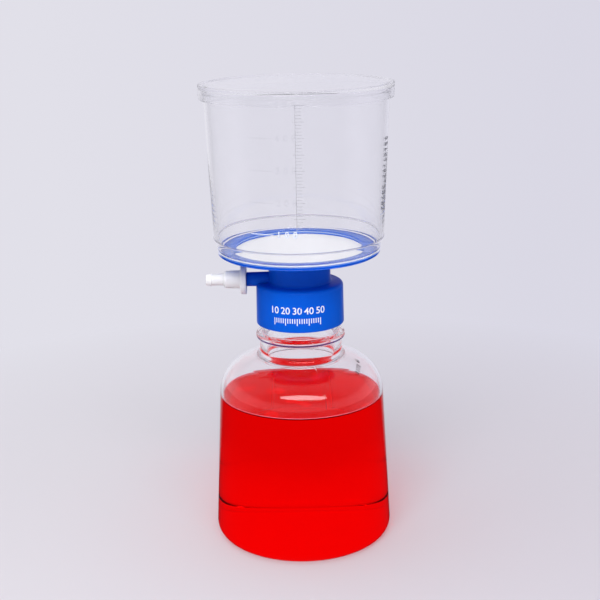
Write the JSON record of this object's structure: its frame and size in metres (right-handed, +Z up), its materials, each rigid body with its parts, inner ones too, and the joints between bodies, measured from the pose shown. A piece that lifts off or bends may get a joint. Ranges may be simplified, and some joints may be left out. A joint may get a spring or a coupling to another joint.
{
  "type": "vacuum filtration unit",
  "caption": "Lidded clear chamber on a blue membrane filter base with a vacuum arm, screwed on a clear receiver bottle that holds red filtrate.",
  "frame": {"origin": "on the table, under the axis of the receiver bottle", "axes": "+Z up along the bottle's axis, -X along the vacuum arm towards its tube end, -Y towards the graduations"},
  "size_m": [0.1016, 0.1016, 0.25],
  "materials": {
    "clear_plastic": "clear polished plastic",
    "red_liquid": "clear red liquid",
    "blue_plastic": "semi-gloss blue moulding",
    "milky_plastic": "milky translucent plastic",
    "membrane_white": "fine matte membrane",
    "cotton": "pressed cotton",
    "gasket_white": "soft white seal",
    "print_white": "screen print",
    "print_dark": "ink print"
  },
  "bodies": {
    "receiver": {"receiver_bottle": "clear_plastic", "filtrate": "red_liquid"},
    "seal": {"neck_gasket": "gasket_white"},
    "filter_head": {"filter_base": "blue_plastic", "membrane": "membrane_white", "vent_plug": "cotton", "upper_chamber": "clear_plastic"},
    "lid": {"lid": "clear_plastic"},
    "adapter": {"tubing_adapter": "milky_plastic"}
  },
  "joints": [
    {"name": "collar_rise", "type": "slide", "parent": "receiver", "child": "seal", "axis": [0, 0, 1], "range_m": [0, 0.00601]},
    {"name": "collar_turn", "type": "hinge", "parent": "seal", "child": "filter_head", "pos_m": [0, 0, 0.1328], "axis": [0, 0, 1], "range_deg": [0, 540]},
    {"name": "lid_lift", "type": "slide", "parent": "filter_head", "child": "lid", "axis": [0, 0, 1], "range_m": [0, 0.04]},
    {"name": "adapter_pull", "type": "slide", "parent": "filter_head", "child": "adapter", "axis": [-1, 0, 0], "range_m": [0, 0.015]}
  ],
  "couplings": [
    {"joint": "collar_rise", "follows": "collar_turn", "m_per_rad": 0.00063662}
  ]
}
